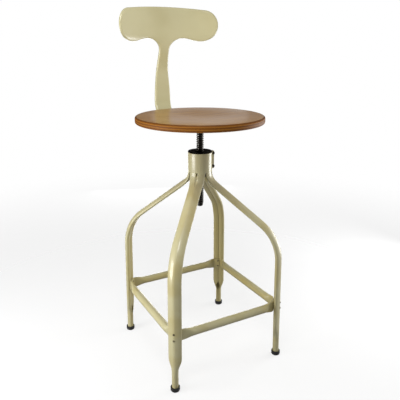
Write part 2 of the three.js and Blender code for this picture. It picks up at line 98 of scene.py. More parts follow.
LEG_AZIMUTHS = {"front_left": -45, "back_left": 45, "back_right": 135, "front_right": 225}
SIDE_AZIMUTHS = {"front": 0, "left": 90, "back": 180, "right": 270}
LEG = {
    # its outer face: the distance at the floor, how much closer for each millimetre up, and the corners
    "outer": 246.2, "lean": 0.021, "incline": math.radians(37.7), "shoulder_radius": 140.0,
    "hub_corner": 535.0, "hub_radius": 35.0, "foot": 3.8, "below_collar": 0.02,
    # its section, and the heights between which it thins
    "width": 37.0, "depth": 17.2, "incline_depth": 14.8, "thinner": (320.0, 430.0), "wall": 1.8,
    # its tip: a tube that widens from tip_top to neck_top, where the seam gapes on the way
    "tip": 18.0, "tip_top": 62.0, "neck_top": 98.0, "opening": 19.0,
    # its top: a quarter of the collar, taken up between these distances from the end
    "spread": (1.0, 46.0), "quarter": math.radians(41.5), "quarter_inner": 25.0,
}
# How deep the crown is pinched at the top, and the distances from the top between which that fades.
LEG_PINCHES = ((6.5, 5, 12), (1.8, 8, 48))
PINCH_WIDTH, PINCH_WIDENING = 1.4, 0.04  # at the top, and for each millimetre down
FOOT = {"sole": 8.8, "edge": 11.4, "radius": 12.8, "bore": 9.7, "floor": 3.3}
BAR = {
    "height": 165.5, "diameter": 22.5, "end_tall": 33.0, "end_thick": 2.7, "bend": 8.0,
    "run": 166.0, "swell": 32.0, "past_leg": (15.0, 4.5), "corner": 6.0,
}
BAR_NEAR = (LEG["outer"] - LEG["lean"] * (BAR["height"] + BAR["end_tall"] / 2) - LEG["depth"]
            - GAP - BAR["end_thick"] / 2)
BAR_RADII = (BAR_NEAR, BAR_NEAR - GAP - BAR["end_thick"])  # the end on the leg, and the end over it
RIVET = {"heights": (176.0, 157.5), "radius": 3.0, "crown": 1.7, "rim": 0.1, "shank": 2.1, "sunk": 2.0}
# Half widths across the back, and heights or lengths along it. leaning is where it comes forward from the
# stem to the head, and curving is where it takes up the head's arc.
BACK = {
    "sheet": 2.2, "edge": 6.5, "round": 5.2, "arc": 281.0, "head_y": 210.75, "span": 160.8,
    "middle": 941.0, "top": 990.5, "crown": 6.5, "shoulder": 118.0, "lobe": 110.0,
    "lobe_bottom": 894.0, "arch": 57.0, "arch_top": 904.2, "neck": 16.0, "neck_z": 870.0,
    "stem": 26.0, "stem_y": 237.0, "bend": 33.0, "tail_end": 66.0, "tail": 20.0,
    "leaning": (795.0, 915.0), "curving": (840.0, 905.0), "taper": 150.0, "tail_taper": (0.3, 1.0),
}


def lerp(a, b, t):
    return a + (b - a) * t


def smoothstep(x, low, high):
    t = min(max((x - low) / (high - low), 0.0), 1.0)
    return t * t * (3 - 2 * t)


# ---- node materials ----

class Nodes:
    """A small builder for one material's node tree."""

    def __init__(self, name):
        self.material = bpy.data.materials.new(name)
        self.material.use_nodes = True
        self.tree = self.material.node_tree
        self.shader = self.tree.nodes["Principled BSDF"]
        self.coordinates = self.add("ShaderNodeTexCoord").outputs["Object"]

    def add(self, kind, inputs=None, **settings):
        node = self.tree.nodes.new(kind)
        for key, value in settings.items():
            setattr(node, key, value)
        for key, value in (inputs or {}).items():
            self.put(node.inputs[key], value)
        return node

    def put(self, socket, value):
        if isinstance(value, bpy.types.NodeSocket):
            self.tree.links.new(value, socket)
        else:
            socket.default_value = value

    def scaled(self, factors, turn=(0, 0, 0)):
        return self.add("ShaderNodeMapping", {
            "Vector": self.coordinates, "Scale": factors, "Rotation": turn}).outputs["Vector"]

    def noise(self, scale, detail=3.0, roughness=0.5, vector=None, distortion=0.0):
        return self.add("ShaderNodeTexNoise", {
            "Vector": vector or self.coordinates, "Scale": scale, "Detail": detail,
            "Roughness": roughness, "Distortion": distortion}).outputs["Fac"]

    def math(self, operation, *values):
        node = self.add("ShaderNodeMath", operation=operation)
        for socket, value in zip(node.inputs, values):
            self.put(socket, value)
        return node.outputs["Value"]

    def range(self, value, low, high, out_low=0.0, out_high=1.0, kind="SMOOTHSTEP"):
        return self.add("ShaderNodeMapRange", {
            "Value": value, "From Min": low, "From Max": high, "To Min": out_low,
            "To Max": out_high}, interpolation_type=kind).outputs["Result"]

    def mix(self, factor, a, b):
        node = self.add("ShaderNodeMix", {"Factor": factor}, data_type="RGBA")
        for socket, value in zip(node.inputs[6:8], (a, b)):  # A and B of the node's colours
            self.put(socket, value)
        return node.outputs[2]

    def ramp(self, factor, stops):
        node = self.add("ShaderNodeValToRGB", {"Fac": factor})
        while len(node.color_ramp.elements) < len(stops):
            node.color_ramp.elements.new(0.5)
        for element, (place, colour) in zip(node.color_ramp.elements, stops):
            element.position = place
            element.color = colour
        return node.outputs["Color"]

    def bump(self, height, strength, distance, normal=None):
        inputs = {"Height": height, "Strength": strength, "Distance": distance}
        if normal:
            inputs["Normal"] = normal
        return self.add("ShaderNodeBump", inputs).outputs["Normal"]

    def apart(self):
        """The coordinates one by one, under X, Y and Z."""
        return self.add("ShaderNodeSeparateXYZ", {"Vector": self.coordinates}).outputs

    def radius(self):
        """The distance from the object's upright axis."""
        at = self.apart()
        across, along = self.math("POWER", at["X"], 2.0), self.math("POWER", at["Y"], 2.0)
        return self.math("SQRT", self.math("ADD", across, along))

    def outward(self):
        """How far the surface faces away from the spindle's axis: 1 to -1."""
        level = self.add("ShaderNodeVectorMath", {0: self.coordinates, 1: (1, 1, 0)}, operation="MULTIPLY")
        away = self.add("ShaderNodeVectorMath", {0: level.outputs[0]}, operation="NORMALIZE")
        facing = self.add("ShaderNodeTexCoord").outputs["Normal"]
        return self.add("ShaderNodeVectorMath", {0: away.outputs[0], 1: facing},
                        operation="DOT_PRODUCT").outputs["Value"]

    def edge(self):
        """1 on sharp outward edges and 0 elsewhere. A flat surface's pointiness is 0.5."""
        pointiness = self.add("ShaderNodeNewGeometry").outputs["Pointiness"]
        return self.range(pointiness, 0.512, 0.56)

    def finish(self, **inputs):
        for key, value in inputs.items():
            self.put(self.shader.inputs[key.replace("_", " ")], value)
        return self.material


def srgb(red, green, blue):
    """A 0 to 255 screen colour as linear red, green, blue and alpha."""
    def linear(value):
        share = value / 255
        return share / 12.92 if share <= 0.04045 else ((share + 0.055) / 1.055) ** 2.4
    return (linear(red), linear(green), linear(blue), 1.0)


def enamel():
    """Cream enamel: slight orange peel, faint tone drift, a frame yellowed in patches, and painted shade on
    the frame's sides that face the spindle's axis.
    """
    n = Nodes("cream_enamel")
    tone = n.mix(n.range(n.noise(9.0, 2.0), 0.35, 0.65), srgb(187, 179, 137), srgb(194, 187, 147))
    under_seat = n.range(n.apart()["Z"], 0.56, 0.52)
    yellowed = n.math("MULTIPLY", n.range(n.noise(16.0, 3.0), 0.42, 0.68), under_seat)
    tone = n.mix(n.math("MULTIPLY", yellowed, 0.5), tone, srgb(180, 164, 104))
    # Painted shade: the frame's sides that face the spindle's axis are darkened towards a dull olive.
    inside = n.math("MULTIPLY", n.range(n.outward(), -0.25, -0.8), under_seat)
    tone = n.mix(n.math("MULTIPLY", inside, 0.6), tone, srgb(170, 154, 92))
    peel = n.noise(420.0, 1.5)
    pull = n.noise(60.0, 2.0)
    roughness = n.range(pull, 0.3, 0.7, 0.29, 0.37)
    relief = n.bump(peel, 0.05, 0.0003)
    relief = n.bump(pull, 0.03, 0.002, relief)
    return n.finish(Base_Color=tone, Roughness=roughness, Coat_Weight=0.25, Coat_Roughness=0.18,
                    Specular_IOR_Level=0.5, Normal=relief)


def plywood():
    """Varnished plywood: long veneer grain on the faces, stacked plies round the edge."""
    n = Nodes("varnished_plywood")
    warp = n.noise(5.0, 2.0)
    grain_turn = (0, 0, math.radians(18))
    grain_at = n.scaled((3.0, 42.0, 3.0), grain_turn)
    broad = n.noise(2.2, 4.0, 0.55, grain_at, 0.6)
    fine = n.noise(16.0, 5.0, 0.65, grain_at, 0.2)
    pores = n.noise(60.0, 2.0, 0.5, n.scaled((6.0, 140.0, 6.0), grain_turn))
    face = n.ramp(broad, [
        (0.28, srgb(142, 92, 16)), (0.5, srgb(168, 115, 26)), (0.72, srgb(190, 140, 50))])
    face = n.mix(n.range(fine, 0.35, 0.7), face, srgb(150, 100, 26))
    face = n.mix(n.math("MULTIPLY", n.range(pores, 0.62, 0.72), 0.45), face, srgb(118, 74, 28))
    face = n.mix(n.math("MULTIPLY", warp, 0.18), face, srgb(192, 144, 60))
    wobble = n.math("MULTIPLY", n.math("SUBTRACT", n.noise(26.0, 3.0), 0.5), 0.0012)
    level = n.math("ADD", n.apart()["Z"], wobble)
    ply = n.range(level, SEAT_UNDER * MM, SEAT_TOP * MM, kind="LINEAR")
    light, dark, line = srgb(150, 96, 28), srgb(116, 68, 16), srgb(60, 30, 7)
    stops = [
        (0.0, light), (0.13, light), (0.15, line), (0.17, dark), (0.29, dark), (0.31, line),
        (0.33, light), (0.47, light), (0.49, line), (0.51, dark), (0.63, dark), (0.65, line),
        (0.67, light), (0.80, light), (0.82, line), (0.84, dark), (0.93, dark), (0.97, line),
    ]
    plies = n.ramp(ply, stops)
    end_grain = n.noise(380.0, 3.0, 0.6, n.scaled((1.0, 1.0, 3.5)))
    plies = n.mix(n.math("MULTIPLY", n.range(end_grain, 0.45, 0.7), 0.35), plies, srgb(92, 52, 20))
    edge = n.range(n.radius(), (SEAT_RADIUS - PLIES_FROM) * MM, (SEAT_RADIUS - PLIES_ONLY) * MM)
    colour = n.mix(edge, face, plies)
    sheen = n.range(n.noise(7.0, 3.0), 0.3, 0.7, 0.29, 0.38)
    roughness = n.math("ADD", sheen, n.math("MULTIPLY", edge, 0.25))
    varnish = n.math("MULTIPLY", n.math("SUBTRACT", 1.0, edge), 0.6)
    relief = n.bump(fine, 0.10, 0.0006)
    relief = n.bump(pores, 0.08, 0.0005, relief)
    return n.finish(Base_Color=colour, Roughness=roughness, Specular_IOR_Level=0.15,
                    Coat_Weight=varnish, Coat_Roughness=0.22, Normal=relief)


def black_steel(name, dark, light, smoothest, metallic, specular, worn_share):
    """Blackened steel mottled from dark to light, with grey worn through on its edges."""
    n = Nodes(name)
    mottled = n.mix(n.range(n.noise(90.0, 4.0), 0.35, 0.7), dark, light)
    worn = n.math("MULTIPLY", n.edge(), n.range(n.noise(160.0, 3.0), 0.4, 0.6, 0.3, worn_share))
    colour = n.mix(worn, mottled, srgb(120, 117, 112))
    roughness = n.range(n.noise(140.0, 3.0), 0.3, 0.7, smoothest, smoothest + 0.16)
    return n.finish(Base_Color=colour, Roughness=roughness, Metallic=metallic,
                    Specular_IOR_Level=specular, Normal=n.bump(n.noise(700.0, 2.0), 0.12, 0.0003))


def plain_steel(name, clean, stained, metallic):
    """Plain steel, finely brushed, with faint stains."""
    n = Nodes(name)
    stain = n.range(n.noise(70.0, 4.0), 0.35, 0.7)
    colour = n.mix(stain, clean, stained)
    brushed = n.noise(60.0, 2.0, 0.5, n.scaled((1.0, 1.0, 30.0)))
    roughness = n.range(brushed, 0.3, 0.7, 0.28, 0.45)
    return n.finish(Base_Color=colour, Roughness=roughness, Metallic=metallic,
                    Normal=n.bump(brushed, 0.1, 0.0003))


def rubber():
    """Matt black rubber with a fine grain and a little dust."""
    n = Nodes("black_rubber")
    dust = n.range(n.noise(130.0, 4.0, 0.6), 0.5, 0.75)
    colour = n.mix(n.math("MULTIPLY", dust, 0.35), srgb(20, 20, 21), srgb(66, 63, 59))
    roughness = n.range(n.noise(50.0, 3.0), 0.3, 0.7, 0.5, 0.72)
    return n.finish(Base_Color=colour, Roughness=roughness,
                    Normal=n.bump(n.noise(1100.0, 2.0), 0.25, 0.0003))


ENAMEL = enamel()
PLYWOOD = plywood()
BLACK = black_steel("blackened_steel", srgb(2, 2, 2), srgb(6, 6, 5), smoothest=0.62, metallic=0.0,
                    specular=0.03, worn_share=0.1)
SCREW = black_steel("spindle_steel", srgb(38, 37, 35), srgb(66, 64, 60), smoothest=0.2, metallic=1.0,
                    specular=0.5, worn_share=1.0)
STEEL = plain_steel("plain_steel", srgb(168, 165, 156), srgb(128, 122, 110), metallic=0.95)
TARNISHED = plain_steel("tarnished_steel", srgb(122, 114, 84), srgb(86, 78, 56), metallic=0.3)
RUBBER = rubber()

# ---- meshes ----


def linked(name, data):
    """A new object of the scene."""
    made = bpy.data.objects.new(name, data)
    bpy.context.scene.collection.objects.link(made)
    return made


def piece(name, solids, material, body, nodes, turn=0.0, crease=38.0):
    """One object from (points, faces) solids in millimetres, turned about the spindle's axis."""
    points, faces = [], []
    turned = Matrix.Rotation(math.radians(turn), 4, "Z") @ Matrix.Scale(MM, 4)
    for solid_points, solid_faces in solids:
        start = len(points)
        points.extend(turned @ Vector(p) for p in solid_points)
        faces.extend(tuple(start + i for i in face) for face in solid_faces)
    mesh = bpy.data.meshes.new(name)
    mesh.from_pydata(points, [], faces)
    shaped = bmesh.new()
    shaped.from_mesh(mesh)
    bmesh.ops.remove_doubles(shaped, verts=shaped.verts, dist=1e-7)
    bmesh.ops.recalc_face_normals(shaped, faces=shaped.faces)
    shaped.to_mesh(mesh)
    shaped.free()
    mesh.shade_smooth()
    mesh.set_sharp_from_angle(angle=math.radians(crease))
    mesh.materials.append(material)
    made = linked(name, mesh)
    made.location = AXIS
    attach(made, body)
    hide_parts(*nodes)


def rounded(corners, closed=False, step=math.radians(15)):
    """Points along (x, y, radius) corners, with each corner rounded to its radius."""
    count = len(corners)
    line = []
    for i, (x, y, radius) in enumerate(corners):
        here = Vector((x, y))
        if radius <= 0 or (not closed and i in (0, count - 1)):
            line.append((x, y))
            continue
        before = Vector(corners[i - 1][:2])
        after = Vector(corners[(i + 1) % count][:2])
        into, onward = (here - before).normalized(), (after - here).normalized()
        turn = math.atan2(into.x * onward.y - into.y * onward.x, into.dot(onward))
        start = here - into * radius * math.tan(abs(turn) / 2)
        side = math.copysign(radius, turn)
        centre = start + Vector((-into.y, into.x)) * side
        steps = max(1, math.ceil(abs(turn) / step))
        for k in range(steps + 1):
            angle = turn * k / steps
            arm = start - centre
            line.append((centre.x + arm.x * math.cos(angle) - arm.y * math.sin(angle),
                         centre.y + arm.x * math.sin(angle) + arm.y * math.cos(angle)))
    return line


def circle(radius, z, count):
    angles = [2 * math.pi * k / count for k in range(count)]
    return [(radius * math.cos(a), radius * math.sin(a), z) for a in angles]


def lathe(profile, segments=96, ring=False):
    """A solid turned about Z from (radius, height) points, axis to axis or round a ring."""
    points, rows = [], []
    for radius, z in profile:
        start = len(points)
        points += circle(radius, z, 1 if radius < 1e-6 else segments)
        rows.append(range(start, len(points)))
    pairs = list(zip(rows, rows[1:])) + ([(rows[-1], rows[0])] if ring else [])
    faces = []
    for low, high in pairs:
        for k in range(segments):
            corners = [row[j % len(row)] for row, j in ((low, k), (low, k + 1), (high, k + 1), (high, k))]
            faces.append(tuple(dict.fromkeys(corners)))
    return points, faces


def moved(solid, matrix):
    points, faces = solid
    return [matrix @ Vector(p) for p in points], faces


def loft(rings, capped=True):
    """Closed rings of points joined in order. The ends are closed with flat faces."""
    count = len(rings[0])
    points = [p for ring in rings for p in ring]
    faces = []
    for s in range(len(rings) - 1):
        for k in range(count):
            after = (k + 1) % count
            faces.append((s * count + k, s * count + after, (s + 1) * count + after, (s + 1) * count + k))
    if capped:
        last = (len(rings) - 1) * count
        faces.append(tuple(reversed(range(count))))
        faces.append(tuple(range(last, last + count)))
    return points, faces


def sheet_loft(stations):
    """A strip of sheet from (skin, lining) stations, closed at its ends by quads."""
    count = len(stations[0][0])
    rings = [list(skin) + list(lining)[::-1] for skin, lining in stations]
    points, faces = loft(rings, capped=False)
    ring = 2 * count
    last = (len(stations) - 1) * ring
    for k in range(count - 1):
        faces.append((k, ring - 1 - k, ring - 2 - k, k + 1))
        faces.append((last + k, last + k + 1, last + ring - 2 - k, last + ring - 1 - k))
    return points, faces


def spline(points, shares):
    """A smooth curve through points, at shares of its spans. It starts level along its first axis."""
    p = [np.array(q, float) for q in points]
    p = [np.array((-p[1][0], p[1][1])), *p, 2 * p[-1] - p[-2]]
    spans = len(p) - 3
    curve = []
    for share in shares:
        place = spans * share
        i = min(int(place), spans - 1)
        t = place - i
        a, b, c, d = p[i:i + 4]
        curve.append(0.5 * (2 * b + (c - a) * t + (2 * a - 5 * b + 4 * c - d) * t ** 2
                            + (3 * b - a - 3 * c + d) * t ** 3))
    return curve


# ---- seat ----

def seat():
    profile = [(0, SEAT_UNDER)]
    profile += rounded([
        (0, SEAT_UNDER, 0), (SEAT_RADIUS, SEAT_UNDER, SEAT_ROUNDS["under"]),
        (SEAT_RADIUS, SEAT_TOP, SEAT_ROUNDS["top"]), (DISH["radius"], SEAT_TOP, 0),
    ], step=math.radians(9))[1:]
    rings = 30
    for k in range(1, rings + 1):
        r = DISH["radius"] * (1 - k / rings)
        profile.append((r, SEAT_TOP - DISH["depth"] * math.cos((r / DISH["radius"]) * (math.pi / 2)) ** 2))
    return lathe(profile, segments=180)


piece("seat_board", [seat()], PLYWOOD, "seat_top", ["seat"])


def flange():
    low, high = extent("seat_flange")
    bore, radius, fillet = FLANGE["bore"], FLANGE["radius"], FLANGE["fillet"]
    return lathe(rounded([
        (bore, low.z, 0.4), (FLANGE["neck"], low.z, 1.2), (FLANGE["neck_top"], FLANGE_UNDER - fillet, fillet),
        (radius, FLANGE_UNDER - FLANGE["rim_rise"], 1.2), (radius, high.z, 0.4), (bore, high.z, 0.3),
    ], closed=True), segments=128, ring=True)


piece("seat_flange_plate", [flange()], BLACK, "seat_top", ["seat_flange"])


def stop_ring():
    low, high = extent("stop_ring")
    bore, radius = STOP_RING["bore"], STOP_RING["radius"]
    return lathe(rounded([
        (bore, low.z, 0.4), (radius, low.z, 1.2), (radius, high.z, 1.2), (bore, high.z, 0.4),
    ], closed=True), ring=True)


piece("stop_ring_washer", [stop_ring()], RUBBER, "lift", ["stop_ring"])


def spindle():
    """The rolled thread as rows that climb with it. Rows past its ends are laid on them, and merge."""
    crest, root, pitch = THREAD["crest"], THREAD["root"], THREAD["pitch"]
    columns = 64
    flank = [0.0, 0.0, 0.15, 0.6, 1.0, 1.0, 1.0, 1.0, 0.6, 0.15]  # the thread's form over one pitch
    per_turn = len(flank)
    low, high = SPINDLE_LOW.z + THREAD["tip"], extent("stop_ring")[0].z - THREAD["short_of_ring"]
    last = math.ceil(per_turn * (high - low) / pitch) + per_turn + 1
    points, faces = [], []
    for i in range(-per_turn, last + 1):
        for j in range(columns):
            z = min(max(low + pitch * (i / per_turn + j / columns), low), high)
            fade = smoothstep(min(z - low, high - z), 0.0, pitch)
            r = root + (crest - root) * flank[i % per_turn] * fade
            a = 2 * math.pi * j / columns
            points.append((r * math.cos(a), r * math.sin(a), z))
    for i in range(last - 1):
        for j in range(columns):
            wraps = j + 1 == columns
            after = (i + per_turn) * columns if wraps else i * columns + j + 1
            if after + columns < len(points):
                faces.append((i * columns + j, after, after + columns, (i + 1) * columns + j))
    bottom, top = SPINDLE_LOW.z, SPINDLE_HIGH.z
    tip = rounded([(0, bottom, 0), (root, bottom, 4.0), (root, low, 0)])
    shank = [(root, high), (root, high + 1), (crest, high + 3), (crest, top), (0, top)]
    return [(points, faces), lathe(tip, columns), lathe(shank, columns)]


piece("spindle_screw", spindle(), SCREW, "seat_top", ["spindle"], crease=50)


def screw_head(radius, height):
    """A pan head, face down at z = 0 with its crown at -height, with a cross sunk in its crown."""
    segments, rings = 48, 14
    recess = 0.45  # the cross's depth, as a share of the height
    floor_half, brim_half, floor_end, brim_end = 0.10, 0.20, 0.42, 0.60  # its arms, as shares of the radius
    points, faces = [(0.0, 0.0, recess * height - height)], []
    for k in range(1, rings + 1):
        r = radius * k / rings
        crown = -height * math.sqrt(max(1 - 0.8 * (r / radius) ** 2.6, 0.05))
        for j in range(segments):
            a = 2 * math.pi * j / segments
            x, y = r * math.cos(a), r * math.sin(a)
            narrow, reach = min(abs(x), abs(y)), max(abs(x), abs(y))
            sunk = ((1 - smoothstep(narrow, floor_half * radius, brim_half * radius))
                    * (1 - smoothstep(reach, floor_end * radius, brim_end * radius)))
            points.append((x, y, crown + sunk * recess * height))
    for k in range(rings):
        for j in range(segments):
            after = (j + 1) % segments
            here = 1 + k * segments
            if k == 0:
                faces.append((0, here + after, here + j))
            else:
                under = here - segments
                faces.append((under + j, under + after, here + after, here + j))
    rim = len(points) - segments
    points += [(p[0], p[1], 0.0) for p in points[rim:]]
    for j in range(segments):
        after = (j + 1) % segments
        faces.append((rim + j, rim + after, rim + segments + after, rim + segments + j))
    faces.append(tuple(rim + segments + j for j in range(segments)))
    return points, faces


for kind, count in (("flange_screw", 4), ("back_screw", 3)):
    for i in range(1, count + 1):
        low, high = extent(f"{kind}_{i}")
        radius, height = SCREW_HEAD["radius"], SCREW_HEAD["height"]
        place = Matrix.Translation(((low.x + high.x) / 2, (low.y + high.y) / 2, low.z + height))
        spin = Matrix.Rotation(math.radians(37 * i + 11 * count), 4, "Z")  # no two crosses are in line
        piece(f"{kind}_head_{i}", [moved(screw_head(radius, height), place @ spin)], STEEL, "seat_top",
              [f"{kind}_{i}"])

# ---- backrest ----

FLAT = BACK["round"]  # the flat face stops this far inside the outline, where the edge starts to turn


def head_top(s):
    if s < BACK["shoulder"]:
        return BACK["top"] - FLAT - BACK["crown"] * (s / BACK["shoulder"]) ** 2
    share = (s - BACK["shoulder"]) / (BACK["span"] - FLAT - BACK["shoulder"])
    rise = BACK["top"] - FLAT - BACK["crown"] - BACK["middle"]
    return BACK["middle"] + rise * math.sqrt(max(1 - share ** 2, 0.0))


def head_bottom(s):
    lobe, arch = BACK["lobe_bottom"] + FLAT, BACK["arch_top"] + FLAT
    if s < BACK["lobe"]:
        fall = 0.5 - 0.5 * math.cos(math.pi * (s - BACK["arch"]) / (BACK["lobe"] - BACK["arch"]))
        return lerp(arch, lobe, fall)
    share = (s - BACK["lobe"]) / (BACK["span"] - FLAT - BACK["lobe"])
    return BACK["middle"] - (BACK["middle"] - lobe) * math.sqrt(max(1 - share ** 2, 0.0))


BEND_TOP = SEAT_UNDER - GAP + BACK["bend"]
BEND_LENGTH = BACK["bend"] * math.pi / 2
TAIL_LENGTH = BACK["stem_y"] - BACK["bend"] - BACK["tail_end"]


def back_point(s, t):
    """A point of the face, s along its width and t up its length, flat out: below BEND_TOP it is round
    the bend and then along the tail."""
    r = BACK["arc"]
    if t < BEND_TOP:
        angle = min((BEND_TOP - t) / BACK["bend"], math.pi / 2)
        further = max(BEND_TOP - t - BEND_LENGTH, 0.0)
        y = BACK["stem_y"] - BACK["bend"] * (1 - math.cos(angle)) - further
        return np.array((s, y, BEND_TOP - BACK["bend"] * math.sin(angle)))
    y = lerp(BACK["stem_y"], BACK["head_y"], smoothstep(t, *BACK["leaning"]))
    follow = smoothstep(t, *BACK["curving"])
    curve = r * (1 - math.cos(s / r))
    return np.array((lerp(s, r * math.sin(s / r), follow), y - follow * curve, t))


def back_normal(s, t):
    """The direction behind the face there."""
    step = 0.5
    across = back_point(s + step, t) - back_point(s - step, t)
    up = back_point(s, t + step) - back_point(s, t - step)
    normal = np.cross(up, across)
    return normal / np.linalg.norm(normal)


def stem_half(t):
    """Half the width of the face below the arch, along the tail, the stem and the neck."""
    if t < BEND_TOP - BEND_LENGTH:
        along = (BEND_TOP - BEND_LENGTH - t) / TAIL_LENGTH
        return lerp(BACK["stem"], BACK["tail"], smoothstep(along, *BACK["tail_taper"])) - FLAT
    if t < BACK["neck_z"]:
        return lerp(BACK["neck"], BACK["stem"], smoothstep(BACK["neck_z"] - t, 0, BACK["taper"])) - FLAT
    low, high = BACK["neck_z"], BACK["arch_top"] + FLAT
    rise = min((t - low) / (high - low), 1.0)
    neck = BACK["neck"] - FLAT
    return BACK["arch"] - (BACK["arch"] - neck) * math.sqrt(1 - rise ** 2)


def back_sheet():
    """The face as quads over (s, t): a middle block of rows, and a block of columns on each side."""
    arch, high, neck = BACK["arch"], BACK["arch_top"] + FLAT, BACK["neck_z"]
    tail_rows, bend_rows, stem_rows, arch_rows = 14, 13, 26, 18
    half_columns, rises, side_columns = 14, 14, 34
    rows = list(np.linspace(BEND_TOP - BEND_LENGTH - TAIL_LENGTH + FLAT, BEND_TOP - BEND_LENGTH, tail_rows))
    rows += list(np.linspace(BEND_TOP - BEND_LENGTH, BEND_TOP, bend_rows))[1:]
    rows += list(np.linspace(BEND_TOP, neck, stem_rows))[1:]
    rows += [neck + (high - neck) * math.sin(k / arch_rows * math.pi / 2) for k in range(1, arch_rows + 1)]
    place, faces = [], []
    for t in rows:
        half = stem_half(t)
        place += [(half * j / half_columns, t) for j in range(-half_columns, half_columns + 1)]
    for k in range(1, rises + 1):
        for j in range(-half_columns, half_columns + 1):
            s = arch * j / half_columns
            place.append((s, lerp(high, head_top(abs(s)), k / rises)))
    wide = 2 * half_columns + 1
    for i in range(len(rows) + rises - 1):
        for j in range(wide - 1):
            faces.append((i * wide + j, i * wide + j + 1, (i + 1) * wide + j + 1, (i + 1) * wide + j))
    top_row = (len(rows) - 1) * wide
    outermost = 0.9985 * (BACK["span"] - FLAT)  # just short of the width at which the head has no height
    for side in (1, -1):
        edge = [top_row + k * wide + (wide - 1 if side > 0 else 0) for k in range(rises + 1)]
        for i in range(1, side_columns + 1):
            s = arch + (outermost - arch) * math.sin(i / side_columns * math.pi / 2)
            start = len(place)
            place += [(side * s, lerp(head_bottom(s), head_top(s), k / rises)) for k in range(rises + 1)]
            fresh = list(range(start, start + rises + 1))
            for k in range(rises):
                faces.append((edge[k], fresh[k], fresh[k + 1], edge[k + 1]))
            edge = fresh
    return place, faces


def outline(faces):
    """The sheet's border, as one loop of its points."""
    count = {}
    for face in faces:
        for a, b in zip(face, face[1:] + face[:1]):
            count[frozenset((a, b))] = count.get(frozenset((a, b)), 0) + 1
    beside = {}
    for a, b in (tuple(edge) for edge, n in count.items() if n == 1):
        beside.setdefault(a, []).append(b)
        beside.setdefault(b, []).append(a)
    start = min(beside)
    loop, before = [start], None
    while True:
        here = loop[-1]
        onward = next(n for n in beside[here] if n != before)
        if onward == start:
            return loop
        before = here
        loop.append(onward)


def backrest():
    """One pressing: the face, its edges turned back round a soft corner, and the inside of the sheet."""
    place, faces = back_sheet()
    normals = [back_normal(s, t) for s, t in place]
    points = [back_point(s, t) for s, t in place]
    loop = outline(faces)
    flat = [np.array(place[i]) for i in loop]
    area = sum(a[0] * b[1] - b[0] * a[1] for a, b in zip(flat, flat[1:] + flat[:1]))
    outward = []
    for i, here in enumerate(flat):
        into = here - flat[i - 1]
        onward = flat[(i + 1) % len(flat)] - here
        sides = [np.array((d[1], -d[0])) / np.linalg.norm(d) * math.copysign(1, area)
                 for d in (into, onward)]
        outward.append((sides[0] + sides[1]) / max(1 + sides[0] @ sides[1], 0.5))
    radius, sheet, edge = BACK["round"], BACK["sheet"], BACK["edge"]
    inner, ease, steps = radius - sheet, 0.4, 7
    turn = [math.pi / 2 * k / steps for k in range(steps + 1)]
    section = [(radius * math.sin(a), radius * (1 - math.cos(a))) for a in turn]
    section += [(radius, edge - ease), (radius - ease, edge), (inner + ease, edge), (inner, edge - ease)]
    section += [(inner * math.sin(a), radius - inner * math.cos(a)) for a in reversed(turn)]
    rings = [loop]
    for out, back in section[1:-1]:
        start = len(points)
        for side, (s, t) in zip(outward, flat):
            s, t = s + side[0] * out, t + side[1] * out
            points.append(back_point(s, t) + back_normal(s, t) * back)
        rings.append(list(range(start, start + len(loop))))
    start = len(points)
    points += [p + n * sheet for p, n in zip(points[:len(place)], normals)]
    rings.append([start + i for i in loop])
    made = list(faces) + [tuple(start + i for i in reversed(face)) for face in faces]
    for a, b in zip(rings, rings[1:]):
        for k in range(len(loop)):
            after = (k + 1) % len(loop)
            made.append((a[k], a[after], b[after], b[k]))
    return points, made


piece("backrest_pressing", [backrest()], ENAMEL, "seat_top", ["backrest"], crease=50)

# ---- hub ----


def collar():
    """The split collar and its two lugs, as one strip of sheet seen from above, with eased edges."""
    low, high = COLLAR_LOW.z, COLLAR_HIGH.z
    slit, reach, half, fillet = LUG["slit"], LUG["reach"], LUG["half"], LUG["fillet"]
    lug_at = math.sqrt(COLLAR_OUTER ** 2 - half ** 2)
    tip_ease, tip_length, ease = 0.2, 0.8, 0.7
    lug_steps, steps = 5, 110
    line = [((reach, half - tip_ease), (reach, slit + tip_ease), 1.0)]
    for k in range(lug_steps + 1):
        x = lerp(reach - tip_length, lug_at + fillet, k / lug_steps)
        line.append(((x, half), (x, slit), 1.0))
    first, inner_first = math.asin((half + fillet) / COLLAR_OUTER), math.asin(slit / COLLAR_INNER)
    for k in range(steps + 1):
        a = lerp(first, 2 * math.pi - first, k / steps)
        inner = lerp(inner_first, 2 * math.pi - inner_first, k / steps)
        line.append(((COLLAR_OUTER * math.cos(a), COLLAR_OUTER * math.sin(a)),
                     (COLLAR_INNER * math.cos(inner), COLLAR_INNER * math.sin(inner)), 0.0))
    first_lug = line[:lug_steps + 2]
    line += [((ox, -oy), (ix, -iy), lug) for (ox, oy), (ix, iy), lug in reversed(first_lug)]
    stations = []
    for outer, inner, lug in line:
        outer, inner = np.array(outer), np.array(inner)
        thick = np.linalg.norm(outer - inner)
        bottom = LUG["bottom"] if lug else low
        top = high - LUG["below_top"] * lug
        corners = rounded([(0, bottom, 0.1), (thick, bottom, 0.1), (thick, top, ease),
                           (0, top, ease)], closed=True, step=math.radians(31))
        along = (outer - inner) / thick
        stations.append([(*(inner + along * u), z) for u, z in corners])
    return loft(stations)


piece("hub_collar_band", [collar()], ENAMEL, "base", ["hub_collar"])


